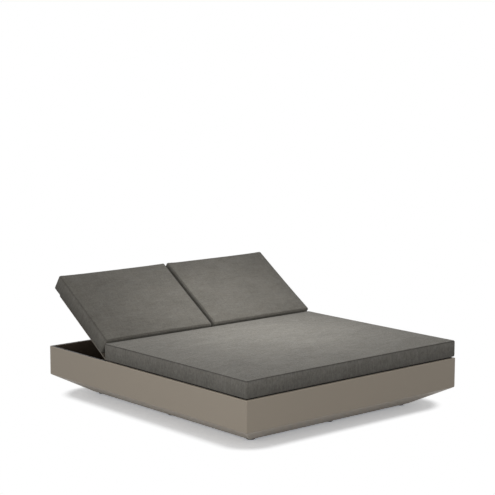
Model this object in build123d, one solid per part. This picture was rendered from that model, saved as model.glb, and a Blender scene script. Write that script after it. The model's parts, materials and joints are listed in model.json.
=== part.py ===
from build123d import *
import math
import os

# Double chaise lounger: a floating daybed base, one seat mattress and two reclining backs.
# Millimetres. The origin is on the floor under the middle of the base, +Z up, +Y to the head end.

# Base shell
base_width = 1800.0
base_length = 2030.0
foot_height = 12.0
underside_height = 115.0
wall_height = 193.0
plate_inset = 210.0
shell_wall = 8.0
rim_width = 18.0
rim_thickness = 10.0
shell_corner = 7.0
kink_radius = 9.0

# Backs and their hinge line
rest_angle = 34.0
hinge_y = 374.0
buffer_gap = 2.0
back_board_thickness = 6.0
back_gap = 16.0
board_margin = 8.0
board_front = 5.0

# Cushions
cushion_thickness = 102.0
cushion_edge = 18.0
cushion_corner = 15.0
cushion_gap = 24.0
cushion_length = 623.0
cushion_flat_start = 8.5
cushion_travel_per_radian = 96.0
side_draw = 4.0
seat_crown = 7.0
back_crown = 8.0
mattress_rear_y = 380.0
mattress_margin = 4.0
mattress_corner = 14.0
crown_level_shares = ((0.1, 0.45), (0.2, 0.78), (0.34, 1.0))
cloth_gap = 0.4

# Seat deck and its carcass
deck_thickness = 8.0
deck_inset = 20.0
deck_seam = 4.0
deck_rear_gap = 5.0
bearer_width = 40.0
bearer_height = 50.0
bearer_wall = 2.5
bearer_count = 3
bearer_inset = 245.0
rail_width = 30.0
post_side = 40.0
post_plate = 110.0
post_plate_thickness = 5.0
post_cap = 64.0
post_share = 0.34
bracket_thickness = 4.0
bracket_width = 64.0
bracket_drop = 70.0
bracket_rise = 35.0
bracket_shelf = 70.0
bracket_bolt_depth = 5.0
bracket_bolt_shares = (0.35, 0.75)
rib_depth = 36.0
rib_height = 68.0
rib_thickness = 8.0
rib_columns = 3
bolt_diameter = 6.0
bolt_head_height = 4.0
bolt_head_diameter = 11.0
bolt_clearance = 0.06
screw_diameter = 4.0
screw_head_diameter = 8.0
screw_head_height = 1.9
deck_screw_length = 10.4
deck_screw_shares = (0.18, 0.82)
slot_width = 10.0
slot_columns = 4
slot_length_share = 0.7
deck_slot_shares = (0.36, 0.64)
board_slot_shares = (0.2, 0.32, 0.56, 0.68, 0.8)

# Well lining
tray_wall = 3.0
tray_gap = 1.0
tray_floor_gap = 8.0
tray_top_drop = 2.0
bulkhead_thickness = 6.0
drain_diameter = 14.0
drain_share = 0.62

# Feet
foot_diameter = 56.0
foot_edge = 3.0
foot_from_edge = 44.0
foot_recess_clearance = 1.2
boss_diameter = 30.0
boss_height = 7.5
foot_screw_length = 13.0

# Back frame
frame_rail_width = 30.0
frame_rail_height = 25.0
frame_rail_wall = 2.0
frame_inset = 44.0
frame_head_inset = 60.0
cross_rail_width = 60.0
board_screws_per_rail = 4

# Hinges
hinge_leaf = 2.0
barrel_radius = 4.0
hinge_pin_radius = 2.0
hinge_pin_clearance = 0.06
leaf_height = 27.0
knuckle_length = 18.0
knuckle_count = 5
knuckle_gap = 0.4
hinge_count = 3
hinge_edge_margin = 150.0
leaf_screw_length = 8.0

# Ratchet stay
stay_base_angle = 63.0
stay_reach = 277.0
eye_radius = 12.0
eye_width = 20.0
ear_gap = 0.5
ear_thickness = 4.0
pin_radius = 4.0
pin_clearance = 0.06
pin_head_radius = 7.0
pin_head_height = 3.0
clevis_clearance = 2.0
neck_radius = 9.0
neck_length = 4.5
tube_radius = 14.0
tube_wall = 2.0
tube_length = 222.0
latch_radius = 19.0
latch_length = 32.0
latch_overlap = 22.0
latch_flutes = 10
flute_radius = 3.0
flute_depth = 1.4
rod_radius = 7.0
rod_clearance = 0.4
rod_length = 232.0
rod_neck = 46.0
notch_pitch = 12.0
notch_depth = 2.0
guide_length = 10.0
guide_clearance = 0.3
clevis_plate = 88.0
clevis_plate_width = 56.0
cheek_foot = 50.0
spreader_side = 150.0

# Rim buffers
rim_edge = 2.0
buffer_radius = 5.0
buffer_press = 0.2
buffer_shares = (0.3, 0.75)

overrun = 1.0

# Levels and places that follow from the sizes above
half_width = base_width / 2
half_length = base_length / 2
kink_z = foot_height + underside_height
rim_z = kink_z + wall_height
slope_run = plate_inset / underside_height
slope_rise = shell_wall * math.hypot(plate_inset, underside_height) / plate_inset
floor_z = foot_height + shell_wall
board_low_z = rim_z + buffer_gap
hinge_z = board_low_z + back_board_thickness / 2
deck_top_z = rim_z + deck_thickness
deck_rear_y = hinge_y - deck_rear_gap
rail_rear_y = hinge_y - barrel_radius
rail_front_y = rail_rear_y - rail_width
bearer_low_z = rim_z - bearer_height
tray_floor_z = floor_z + tray_floor_gap
tray_front_y = rail_rear_y + bulkhead_thickness + tray_gap
opening_half_width = half_width - rim_width
inner_half_width = half_width - shell_wall
member_half_length = opening_half_width - tray_gap
cushion_outer_x = half_width - board_margin
back_width = cushion_outer_x - back_gap / 2
cushion_width = cushion_outer_x - cushion_gap / 2
back_mid_x = back_gap / 2 + back_width / 2
cushion_mid_x = cushion_gap / 2 + cushion_width / 2
board_head_y = half_length - board_margin
rail_top_drop = back_board_thickness / 2
rail_low_drop = rail_top_drop + frame_rail_height
pin_drop = rail_low_drop + ear_thickness + eye_radius + clevis_clearance
stay_radius = math.hypot(stay_reach, pin_drop)
stay_pin_angle = math.degrees(math.atan2(pin_drop, stay_reach))
base_pin_y = hinge_y + stay_radius * math.cos(math.radians(stay_base_angle))
base_pin_z = hinge_z - stay_radius * math.sin(math.radians(stay_base_angle))

hinge_line = Axis((0, hinge_y, hinge_z), (1, 0, 0))


def save(name, shape):
    # Writes one named piece.
    shape.label = name
    export_step(shape, "parts/" + name + ".step")


def group(solids):
    # Several separate solids that share one node.
    return Compound(children=list(solids))


def box_between(x, y, z):
    # A block from three pairs of limits.
    size = [high - low for low, high in (x, y, z)]
    middle = [(high + low) / 2 for low, high in (x, y, z)]
    return Pos(*middle) * Box(*size)


def raised(shape):
    # Turns a piece of the flat back up about the hinge line.
    return shape.rotate(hinge_line, rest_angle)


def rect_face(x, y, z, corner=0):
    # A level rectangle, with rounded corners where asked.
    place = Pos((x[0] + x[1]) / 2, (y[0] + y[1]) / 2, z)
    if corner > 0:
        return place * RectangleRounded(x[1] - x[0], y[1] - y[0], corner)
    return place * Rectangle(x[1] - x[0], y[1] - y[0])


def basin(x, y, floor_x, floor_y, levels, corner=0):
    # Sloping lower block with an upright block on it; levels are floor, kink and top.
    low, kink, top = levels
    foot = rect_face(floor_x, floor_y, low, corner)
    waist = rect_face(x, y, kink, corner)
    slope = loft([foot.face(), waist.face()], ruled=True)
    return slope + extrude(waist, amount=top - kink)


def slope_half(half, z, rise):
    # Half size of the underside at a height, for a surface lifted by rise above the outside.
    return half - (kink_z - (z - rise)) * slope_run


# Base shell

def feet_places():
    # Corners and mid-sides of the bottom plate.
    x = half_width - plate_inset - foot_from_edge
    y = half_length - plate_inset - foot_from_edge
    return [(i * x, j * y) for i in (-1, 0, 1) for j in (-1, 0, 1) if (i, j) != (0, 0)]


def drain_places():
    # Drain holes in the seat compartment and in the well.
    x = (half_width - plate_inset) * drain_share
    well_y = (tray_front_y + half_length - plate_inset) / 2
    return [(i * x, j) for i in (-1, 1) for j in (-half_length / 2, well_y)]


def base_shell():
    outer_floor = (half_width - plate_inset, half_length - plate_inset)
    outer = basin((-half_width, half_width), (-half_length, half_length),
                  (-outer_floor[0], outer_floor[0]), (-outer_floor[1], outer_floor[1]),
                  (foot_height, kink_z, rim_z), shell_corner)
    kink = outer.edges().filter_by_position(Axis.Z, kink_z - overrun, kink_z + overrun)
    outer = fillet(kink, kink_radius)
    top = rim_z - rim_thickness
    inner_x = inner_half_width
    inner_y = half_length - shell_wall
    inner_kink = kink_z + slope_rise - shell_wall / slope_run
    floor_half_x = slope_half(half_width, floor_z, slope_rise)
    floor_half_y = slope_half(half_length, floor_z, slope_rise)
    cavity = basin((-inner_x, inner_x), (-inner_y, inner_y),
                   (-floor_half_x, floor_half_x), (-floor_half_y, floor_half_y),
                   (floor_z, inner_kink, top))
    mouth = box_between((-opening_half_width, opening_half_width),
                        (-half_length + rim_width, half_length - rim_width),
                        (top - overrun, rim_z + overrun))
    shell = outer - cavity - mouth
    bosses = [Pos(x, y, floor_z + boss_height / 2 - overrun / 2) *
              Cylinder(boss_diameter / 2, boss_height + overrun) for x, y in feet_places()]
    shell = shell + shell_ribs(top) + bosses
    rim_edges = shell.edges().filter_by_position(Axis.Z, rim_z - rim_edge / 2, rim_z + rim_edge / 2)
    shell = fillet(rim_edges, rim_edge)
    drill = [Pos(x, y, floor_z) * Cylinder(drain_diameter / 2, shell_wall * 4) for x, y in drain_places()]
    pilots = [Pos(x, y, foot_height + foot_screw_length / 2) *
              Cylinder(bolt_diameter / 2, foot_screw_length + overrun) for x, y in feet_places()]
    pilots += [Pos(sign * inner_half_width, y, z) * Rot(0, 90, 0) *
               Cylinder(bolt_diameter / 2, (bracket_bolt_depth + bolt_clearance) * 2)
               for sign in (-1, 1) for y, z in bracket_bolt_places()]
    return shell - drill - pilots


def shell_ribs(top):
    # Gusset ribs under the rim of the seat compartment, in the bays between the bearers.
    outline = Polyline((-overrun, 0), (rib_depth, 0), (0, -rib_height), (-overrun, -rib_height), close=True)
    rib = extrude(make_face(Plane.XZ * outline), amount=rib_thickness / 2, both=True)
    ribs = []
    lines = bearer_places() + [rail_front_y]
    for low, high in zip(lines, lines[1:]):
        y = (low + high) / 2
        ribs.append(Pos(-inner_half_width, y, top) * rib)
        ribs.append(Pos(inner_half_width, y, top) * Rot(0, 0, 180) * rib)
    for column in range(-rib_columns, rib_columns + 1):
        x = column * half_width / (rib_columns + 1)
        ribs.append(Pos(x, shell_wall - half_length, top) * Rot(0, 0, 90) * rib)
    return ribs


def foot():
    # A low moulded glide with a recess for its screw head.
    r = foot_diameter / 2
    recess = bolt_head_diameter / 2 + foot_recess_clearance
    seat = bolt_head_height + foot_recess_clearance
    outline = Polyline((bolt_diameter / 2, foot_height), (r, foot_height), (r, foot_edge),
                       (r - foot_edge, 0), (recess, 0), (recess, seat), (bolt_diameter / 2, seat), close=True)
    return revolve(make_face(Plane.XZ * outline), Axis.Z)


def bolt(length):
    # Domed head below the origin plane, shank going up; the shank is a shade under its hole.
    r = bolt_diameter / 2 - bolt_clearance
    head = bolt_head_diameter / 2
    crown = bolt_head_height / 2
    outline = Polyline((0, -bolt_head_height), (head - crown, -bolt_head_height), (head, -crown), (head, 0),
                       (r, 0), (r, length), (0, length), close=True)
    return revolve(make_face(Plane.XZ * outline), Axis.Z)


def countersunk(length):
    # Flat head flush with the origin plane, shank going down.
    r = screw_diameter / 2
    outline = Polyline((0, 0), (screw_head_diameter / 2, 0), (r, -screw_head_height), (r, -length),
                       (0, -length), close=True)
    return revolve(make_face(Plane.XZ * outline), Axis.Z)


def feet():
    return group(Pos(x, y, 0) * foot() for x, y in feet_places())


def foot_screws():
    seat = bolt_head_height + foot_recess_clearance
    return group(Pos(x, y, seat) * bolt(foot_height - seat + foot_screw_length - overrun)
                 for x, y in feet_places())


# Seat compartment: bearers, hinge rail, posts, brackets, deck

def bearer_places():
    # Middles in Y of the deck bearers, in even bays up to the hinge rail.
    first = -half_length + bearer_inset
    return [first + (rail_front_y - first) * i / bearer_count for i in range(bearer_count)]


def hollow_bar(length, width, height, wall):
    # A box tube along X with open ends.
    section = RectangleRounded(width, height, wall * 1.2) - Rectangle(width - wall * 2, height - wall * 2)
    return extrude(Plane.YZ * section, amount=length / 2, both=True)


def deck_bearers():
    z = rim_z - bearer_height / 2
    bar = hollow_bar(member_half_length * 2, bearer_width, bearer_height, bearer_wall)
    bar = bar - [Pos(x, 0, bearer_height / 2) * Cylinder(screw_diameter / 2, deck_screw_length)
                 for x in deck_screw_columns()]
    return group(Pos(0, y, z) * bar for y in bearer_places())


def leaf_screw_places(sign):
    # Three screws for each hinge, in X, along the leaf's lower half.
    pitch = knuckle_length * knuckle_count / 3
    return [x + sign * i * pitch for x in hinge_places(sign) for i in (-1, 0, 1)]


def hinge_rail():
    bar = hollow_bar(member_half_length * 2, rail_width, bearer_height, bearer_wall)
    bar = Pos(0, (rail_front_y + rail_rear_y) / 2, rim_z - bearer_height / 2) * bar
    z = hinge_z - leaf_screw_drop()
    holes = [Pos(x, rail_rear_y, z) * Rot(90, 0, 0) * Cylinder(screw_diameter / 2, leaf_screw_length * 3)
             for sign in (-1, 1) for x in leaf_screw_places(sign)]
    return bar - holes


def centre_post():
    # A post with a plate at each end, standing on the shell's floor.
    height = bearer_low_z - floor_z
    bore = post_side - bearer_wall * 2
    post = extrude(Rectangle(post_side, post_side) - Rectangle(bore, bore), amount=height)
    plate = Pos(0, 0, post_plate_thickness / 2) * Box(post_plate, post_side, post_plate_thickness)
    cap = Pos(0, 0, height - post_plate_thickness / 2) * Box(post_cap, post_side, post_plate_thickness)
    return Pos(0, 0, floor_z) * (post + plate + cap)


def centre_posts():
    # Two posts under each bearer and two under the hinge rail.
    places = bearer_places() + [rail_rear_y - tray_gap - post_side / 2]
    post = centre_post()
    return group(Pos(sign * half_width * post_share, y, 0) * post for sign in (-1, 1) for y in places)


def end_bracket():
    # Angle bracket: upright plate on the shell wall, shelf under the bearer, one web each side.
    half = bracket_width / 2
    plate = box_between((0, bracket_thickness), (-half, half), (-bracket_drop, bracket_rise))
    shelf = box_between((0, bracket_shelf), (-half, half), (-bracket_thickness, 0))
    wall = bracket_thickness
    web = Polyline((wall, -wall), (bracket_shelf - wall, -wall), (wall, -bracket_drop), close=True)
    web = extrude(make_face(Plane.XZ * web), amount=bracket_thickness / 2, both=True)
    offset = half - bracket_thickness / 2
    holes = [Pos(0, 0, -bracket_drop * share) * Rot(0, 90, 0) *
             Cylinder(bolt_diameter / 2, bracket_thickness * 4) for share in bracket_bolt_shares]
    return plate + shelf + Pos(0, offset, 0) * web + Pos(0, -offset, 0) * web - holes


def bracket_places():
    # Middles in Y of the end brackets; the last one carries the hinge rail, clear of the bulkhead.
    return bearer_places() + [rail_rear_y - tray_gap - bracket_width / 2]


def bracket_bolt_places():
    # Y and Z of each bracket bolt on one side wall.
    return [(y, bearer_low_z - bracket_drop * share)
            for y in bracket_places() for share in bracket_bolt_shares]


def end_brackets():
    solids = []
    for y in bracket_places():
        solids.append(Pos(-inner_half_width, y, bearer_low_z) * end_bracket())
        solids.append(Pos(inner_half_width, y, bearer_low_z) * Rot(0, 0, 180) * end_bracket())
    return group(solids)


def bracket_bolts():
    inner = inner_half_width - bracket_thickness
    length = bracket_thickness + bracket_bolt_depth
    return group(Pos(sign * inner, y, z) * Rot(0, sign * 90, 0) * bolt(length)
                 for sign in (-1, 1) for y, z in bracket_bolt_places())


def deck_screw_columns():
    # The deck screws' places in X along each bearer.
    return [sign * (half_width - deck_inset) * share for sign in (-1, 1) for share in deck_screw_shares]


def deck_screw_places():
    return [(x, y) for x in deck_screw_columns() for y in bearer_places()]


def deck_board(sign):
    # One half of the seat deck, with rows of ventilation slots between the bearers.
    low_x = deck_seam / 2
    high_x = half_width - deck_inset
    low_y = -half_length + deck_inset
    board = box_between((low_x, high_x), (low_y, deck_rear_y), (rim_z, deck_top_z))
    pitch_x = (high_x - low_x) / slot_columns
    outline = SlotOverall(pitch_x * slot_length_share, slot_width)
    slot = extrude(outline, amount=deck_thickness + overrun, both=True)
    spans = [low_y] + bearer_places() + [deck_rear_y]
    slots = []
    for column in range(slot_columns):
        x = low_x + pitch_x * (column + 0.5)
        for low, high in zip(spans, spans[1:]):
            for share in deck_slot_shares:
                slots.append(Pos(x, low + (high - low) * share, rim_z) * slot)
    board = board - slots
    if sign < 0:
        board = board.mirror(Plane.YZ)
    holes = [Pos(x, y, deck_top_z) * countersunk(deck_screw_length)
             for x, y in deck_screw_places() if x * sign > 0]
    return board - holes


def deck_screws():
    return group(Pos(x, y, deck_top_z) * countersunk(deck_screw_length) for x, y in deck_screw_places())


# Well at the head end

def well_tray():
    # Dark lining of the well: two sides, head wall, slopes and floor; the bulkhead closes its front.
    out_x = opening_half_width - tray_gap
    out_y = half_length - rim_width - tray_gap
    top = rim_z - tray_top_drop
    rise = slope_rise + tray_gap
    kink = kink_z - (half_width - out_x) / slope_run + rise
    floor_x = slope_half(half_width, tray_floor_z, rise)
    floor_y = slope_half(half_length, tray_floor_z, rise)
    outer = basin((-out_x, out_x), (tray_front_y, out_y), (-floor_x, floor_x),
                  (tray_front_y, floor_y), (tray_floor_z, kink, top))
    in_x = out_x - tray_wall
    in_y = out_y - tray_wall
    wall_rise = tray_wall * math.hypot(plate_inset, underside_height) / plate_inset
    in_kink = kink + wall_rise - tray_wall / slope_run
    low = tray_floor_z + tray_wall
    low_x = slope_half(half_width, low, rise + wall_rise)
    low_y = slope_half(half_length, low, rise + wall_rise)
    front = tray_front_y - overrun
    inner = basin((-in_x, in_x), (front, in_y), (-low_x, low_x), (front, low_y),
                  (low, in_kink, top + overrun))
    drains = [Pos(x, y, tray_floor_z) * Cylinder(drain_diameter / 2, tray_wall * 4)
              for x, y in drain_places() if y > tray_front_y]
    bolts = [Pos(x, y, tray_floor_z) * Cylinder(bolt_diameter / 2, tray_wall * 4)
             for sign in (-1, 1) for x, y in clevis_bolt_places(sign)]
    return outer - inner - drains - bolts


def bulkhead():
    # Flat panel between the seat compartment and the well, under and behind the hinge rail.
    rise = slope_rise + tray_gap
    out_x = member_half_length
    kink = kink_z - (half_width - out_x) / slope_run + rise
    floor_x = slope_half(half_width, floor_z, rise)
    outline = Polyline((-floor_x, floor_z), (floor_x, floor_z), (out_x, kink), (out_x, bearer_low_z),
                       (-out_x, bearer_low_z), (-out_x, kink), close=True)
    panel = extrude(make_face(Plane.XZ * outline), amount=-bulkhead_thickness)
    return Pos(0, rail_rear_y, 0) * panel


def rim_buffers():
    # Low rubber domes on the rim, under each back's outer side and head edge.
    height = buffer_gap - buffer_press
    top_radius = buffer_radius - height / 2
    outline = Polyline((0, 0), (buffer_radius, 0), (buffer_radius, height / 2), (top_radius, height),
                       (0, height), close=True)
    dome = revolve(make_face(Plane.XZ * outline), Axis.Z)
    from_edge = rim_width - rim_edge - buffer_radius
    side_x = half_width - from_edge
    head_y = half_length - from_edge
    well = board_head_y - hinge_y
    places = [(sign * side_x, hinge_y + well * share) for sign in (-1, 1) for share in buffer_shares]
    places += [(sign * (back_mid_x + i * back_width / 4), head_y) for sign in (-1, 1) for i in (-1, 1)]
    return group(Pos(x, y, rim_z) * dome for x, y in places)


# Hinges between the hinge rail and each back

def hinge_places(sign):
    # Middles in X of the hinges of one back.
    inner = back_gap / 2 + hinge_edge_margin
    outer = cushion_outer_x - hinge_edge_margin
    step = (outer - inner) / (hinge_count - 1)
    return [sign * (inner + i * step) for i in range(hinge_count)]


def leaf_screw_drop():
    # How far below the hinge line the leaf's screws lie.
    return barrel_radius + (leaf_height - barrel_radius) * 0.5


def hinge_leaf_solid(knuckles, side):
    # One leaf with its knuckles about the X axis; side is -1 towards the foot, 1 towards the head.
    length = knuckle_length * knuckle_count
    inner = side * (barrel_radius - hinge_leaf)
    outer = side * barrel_radius
    leaf = box_between((-length / 2, length / 2), sorted((inner, outer)), (-leaf_height, 0))
    barrels = []
    for index in range(knuckle_count):
        x = -length / 2 + knuckle_length * (index + 0.5)
        if index in knuckles:
            barrel = Rot(0, 90, 0) * Cylinder(barrel_radius, knuckle_length - knuckle_gap)
            barrels.append(Pos(x, 0, 0) * barrel)
        else:
            relief = Rot(0, 90, 0) * Cylinder(barrel_radius + knuckle_gap, knuckle_length + knuckle_gap)
            leaf = leaf - Pos(x, 0, 0) * relief
    bore = Rot(0, 90, 0) * Cylinder(hinge_pin_radius + hinge_pin_clearance, length + overrun * 2)
    pitch = length / 3
    heads = [Pos(i * pitch, inner, -leaf_screw_drop()) * Rot(-90 * side, 0, 0) * Rot(180, 0, 0) *
             countersunk(leaf_screw_length) for i in (-1, 0, 1)]
    return leaf + barrels - bore - heads


def fixed_knuckles():
    return [index for index in range(knuckle_count) if index % 2 == 0]


def moving_knuckles():
    return [index for index in range(knuckle_count) if index % 2 == 1]


def hinge_fixed_leaves(sign):
    leaf = hinge_leaf_solid(fixed_knuckles(), -1)
    return group(Pos(x, hinge_y, hinge_z) * leaf for x in hinge_places(sign))


def hinge_moving_leaves(sign):
    leaf = hinge_leaf_solid(moving_knuckles(), 1)
    return raised(group(Pos(x, hinge_y, hinge_z) * leaf for x in hinge_places(sign)))


def hinge_pins(sign):
    length = knuckle_length * knuckle_count
    pin = Rot(0, 90, 0) * Cylinder(hinge_pin_radius, length)
    return group(Pos(x, hinge_y, hinge_z) * pin for x in hinge_places(sign))


def leaf_screws(sign, side):
    # The countersunk screws of one side's leaves, before the back is raised.
    inner = side * (barrel_radius - hinge_leaf)
    screw = Rot(-90 * side, 0, 0) * Rot(180, 0, 0) * countersunk(leaf_screw_length)
    pitch = knuckle_length * knuckle_count / 3
    return group(Pos(x + i * pitch, hinge_y + inner, hinge_z - leaf_screw_drop()) * screw
                 for x in hinge_places(sign) for i in (-1, 0, 1))


# Backs: board, frame, stay bracket; made flat, then raised

def frame_limits():
    # Outer limits of the back frame in X and Y, for the back on the +X side, lying flat.
    x = (back_gap / 2 + frame_inset, cushion_outer_x - frame_inset)
    y = (hinge_y + barrel_radius, board_head_y - frame_head_inset)
    return x, y


def frame_tube(x, y, capped):
    # One tube of the frame between its limits: welded shut where capped, else open where it butts.
    z = (hinge_z - rail_low_drop, hinge_z - rail_top_drop)
    t = frame_rail_wall
    along_x = x[1] - x[0] > y[1] - y[0]
    end = t if capped else -overrun
    hole_x = (x[0] + end, x[1] - end) if along_x else (x[0] + t, x[1] - t)
    hole_y = (y[0] + t, y[1] - t) if along_x else (y[0] + end, y[1] - end)
    tube = box_between(x, y, z)
    tube = fillet(tube.edges().filter_by(Axis.X if along_x else Axis.Y), t)
    return tube - box_between(hole_x, hole_y, (z[0] + t, z[1] - t))


def sided(shapes, sign):
    # Shapes made for the +X back, mirrored for the other one.
    return [shape.mirror(Plane.YZ) if sign < 0 else shape for shape in shapes]


def frame_cross_rails(sign):
    # Front rail with the hinge holes, middle rail that carries the stay, head rail.
    x, y = frame_limits()
    w = frame_rail_width
    mid = hinge_y + stay_reach
    cross_half = cross_rail_width / 2
    rails = [frame_tube(x, (y[0], y[0] + w), True),
             frame_tube((x[0] + w, x[1] - w), (mid - cross_half, mid + cross_half), False),
             frame_tube(x, (y[1] - w, y[1]), True)]
    holes = [Pos(px, y[0], hinge_z - leaf_screw_drop()) * Rot(90, 0, 0) *
             Cylinder(screw_diameter / 2, leaf_screw_length * 3) for px in leaf_screw_places(sign)]
    holes += [Pos(sign * back_mid_x + px, mid + py, hinge_z - rail_low_drop) *
              Cylinder(bolt_diameter / 2, frame_rail_wall * 3) for px, py in clevis_holes()]
    return raised(group(rail - holes for rail in sided(rails, sign)))


def frame_side_rails(sign):
    x, y = frame_limits()
    w = frame_rail_width
    between = (y[0] + w, y[1] - w)
    rails = [frame_tube((x[0], x[0] + w), between, False), frame_tube((x[1] - w, x[1]), between, False)]
    return raised(group(rail - board_screw_shapes(sign) for rail in sided(rails, sign)))


def board_screw_shapes(sign):
    # Screws through the board into the frame's side rails, on the flat back.
    x, y = frame_limits()
    edge = frame_rail_width / 2
    low = y[0] + frame_rail_width * 2
    step = (y[1] - frame_rail_width * 2 - low) / (board_screws_per_rail - 1)
    top = hinge_z + back_board_thickness / 2
    length = back_board_thickness + frame_rail_wall
    return [Pos(sign * px, low + i * step, top) * countersunk(length)
            for px in (x[0] + edge, x[1] - edge) for i in range(board_screws_per_rail)]


def back_board(sign):
    # Thin board with rows of ventilation slots.
    x = (back_gap / 2, cushion_outer_x)
    y = (hinge_y + board_front, board_head_y)
    z = (hinge_z - back_board_thickness / 2, hinge_z + back_board_thickness / 2)
    board = box_between(x, y, z)
    board = fillet(board.edges().filter_by(Axis.Z), back_board_thickness)
    inner = x[0] + frame_inset + frame_rail_width
    pitch = (x[1] - frame_inset - frame_rail_width - inner) / slot_columns
    outline = SlotOverall(pitch * slot_length_share, slot_width)
    slot = extrude(outline, amount=back_board_thickness, both=True)
    slots = []
    for column in range(slot_columns):
        px = inner + pitch * (column + 0.5)
        for share in board_slot_shares:
            slots.append(Pos(px, y[0] + (y[1] - y[0]) * share, hinge_z) * slot)
    board = board - slots
    if sign < 0:
        board = board.mirror(Plane.YZ)
    return raised(board - board_screw_shapes(sign))


def board_screws(sign):
    return raised(group(board_screw_shapes(sign)))


# Ratchet stay

def clevis(drop):
    # Plate with two ears; the origin is the pin, the plate lies drop below it.
    ear_inner = eye_width / 2 + ear_gap
    ear_outer = ear_inner + ear_thickness
    half_plate = clevis_plate / 2
    plate = box_between((-clevis_plate_width / 2, clevis_plate_width / 2), (-half_plate, half_plate),
                        (-drop, -drop + ear_thickness))
    low = -drop + ear_thickness / 2
    half_foot = cheek_foot / 2
    profile = Polyline((-half_foot, low), (half_foot, low), (eye_radius, 0), (-eye_radius, 0), close=True)
    cheek = make_face(Plane.XZ * profile) + Plane.XZ * Circle(eye_radius)
    cheek = Rot(0, 0, 90) * extrude(cheek, amount=ear_thickness)
    solids = plate + Pos(ear_inner, 0, 0) * cheek + Pos(-ear_outer, 0, 0) * cheek
    bore = Rot(0, 90, 0) * Cylinder(pin_radius + pin_clearance, ear_outer * 2 + overrun)
    holes = [Pos(x, y, -drop) * Cylinder(bolt_diameter / 2, ear_thickness * 4) for x, y in clevis_holes()]
    return solids - bore - holes


def clevis_holes():
    # Bolt places in a clevis plate, in front of and behind its ears.
    y = clevis_plate / 2 - bolt_head_diameter
    return [(0, -y), (0, y)]


def clevis_bolt_places(sign):
    # Bolts of the base clevis in X and Y.
    return [(sign * back_mid_x + x, base_pin_y + y) for x, y in clevis_holes()]


def base_drop():
    # From the base pin down to the top of the well's lining.
    return base_pin_z - tray_floor_z - tray_wall


def stay_base_clevis(sign):
    return Pos(sign * back_mid_x, base_pin_y, base_pin_z) * clevis(base_drop())


def clevis_pin():
    # Headed pin with a retaining ring groove, along X.
    half = eye_width / 2 + ear_gap + ear_thickness + clevis_clearance / 2
    shaft = Cylinder(pin_radius, half * 2)
    head = Pos(0, 0, half + pin_head_height / 2) * Cylinder(pin_head_radius, pin_head_height)
    clip = Cylinder(pin_radius + pin_head_height / 2, pin_head_height / 2)
    ring = Pos(0, 0, -half + pin_head_height / 4) * clip
    return Rot(0, 90, 0) * Pos(0, 0, -clevis_clearance / 4) * (shaft + head + ring)


def stay_base_pin(sign):
    return Pos(sign * back_mid_x, base_pin_y, base_pin_z) * clevis_pin()


def stay_base_bolts(sign):
    # Up through the bottom plate, the spreader, the lining and the clevis.
    seat = base_pin_z - base_drop() + ear_thickness
    return group(Pos(x, y, seat) * Rot(180, 0, 0) * bolt(seat - floor_z) for x, y in clevis_bolt_places(sign))


def stay_spreader(sign):
    # Plate between the shell's floor and the lining, tapped for the clevis bolts.
    plate = box_between((-spreader_side / 2, spreader_side / 2), (-spreader_side / 2, spreader_side / 2),
                        (floor_z, tray_floor_z))
    holes = [Pos(x, y, floor_z) * Cylinder(bolt_diameter / 2, tray_floor_gap * 4) for x, y in clevis_holes()]
    return Pos(sign * back_mid_x, base_pin_y, 0) * (plate - holes)


def upper_drop():
    # From the upper pin up to the cross rail.
    return pin_drop - rail_low_drop


def stay_top_clevis(sign):
    place = Pos(sign * back_mid_x, hinge_y + stay_reach, hinge_z - pin_drop)
    return raised(place * Rot(0, 180, 0) * clevis(upper_drop()))


def stay_top_pin(sign):
    return raised(Pos(sign * back_mid_x, hinge_y + stay_reach, hinge_z - pin_drop) * clevis_pin())


def stay_top_bolts(sign):
    z = hinge_z - rail_low_drop - ear_thickness
    length = ear_thickness + frame_rail_wall
    return raised(group(Pos(sign * back_mid_x + x, hinge_y + stay_reach + y, z) * bolt(length)
                        for x, y in clevis_holes()))


def top_pin_place(angle):
    # Y and Z of the upper pin with the back at an angle.
    lean = math.radians(angle - stay_pin_angle)
    return hinge_y + stay_radius * math.cos(lean), hinge_z + stay_radius * math.sin(lean)


def stay_lean(angle):
    # Lean of the stay from upright, towards the head end, in degrees.
    y, z = top_pin_place(angle)
    return math.degrees(math.atan2(y - base_pin_y, z - base_pin_z))


def eye():
    # Disc about X that becomes the eye once the pin bore is cut.
    return Rot(0, 90, 0) * Cylinder(eye_radius, eye_width)


def pin_bore():
    return Rot(0, 90, 0) * Cylinder(pin_radius + pin_clearance, eye_width + overrun)


def leaned(shape, sign, y, z):
    # Puts a piece made upright about its pin in place, leaning as it does at rest.
    return Pos(sign * back_mid_x, y, z) * Rot(-stay_lean(rest_angle), 0, 0) * shape


def stay_tube(sign):
    # Lower eye, solid plug and tube, made upright with the eye at the origin.
    inner = tube_radius - tube_wall
    start = eye_radius - tube_wall
    neck = start + neck_length
    shoulder = neck + tube_radius - neck_radius
    outline = Polyline((0, start), (neck_radius, start), (neck_radius, neck), (tube_radius, shoulder),
                       (tube_radius, tube_length), (inner, tube_length), (inner, neck), (0, neck), close=True)
    tube = revolve(make_face(Plane.XZ * outline), Axis.Z)
    return leaned(tube + eye() - pin_bore(), sign, base_pin_y, base_pin_z)


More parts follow.
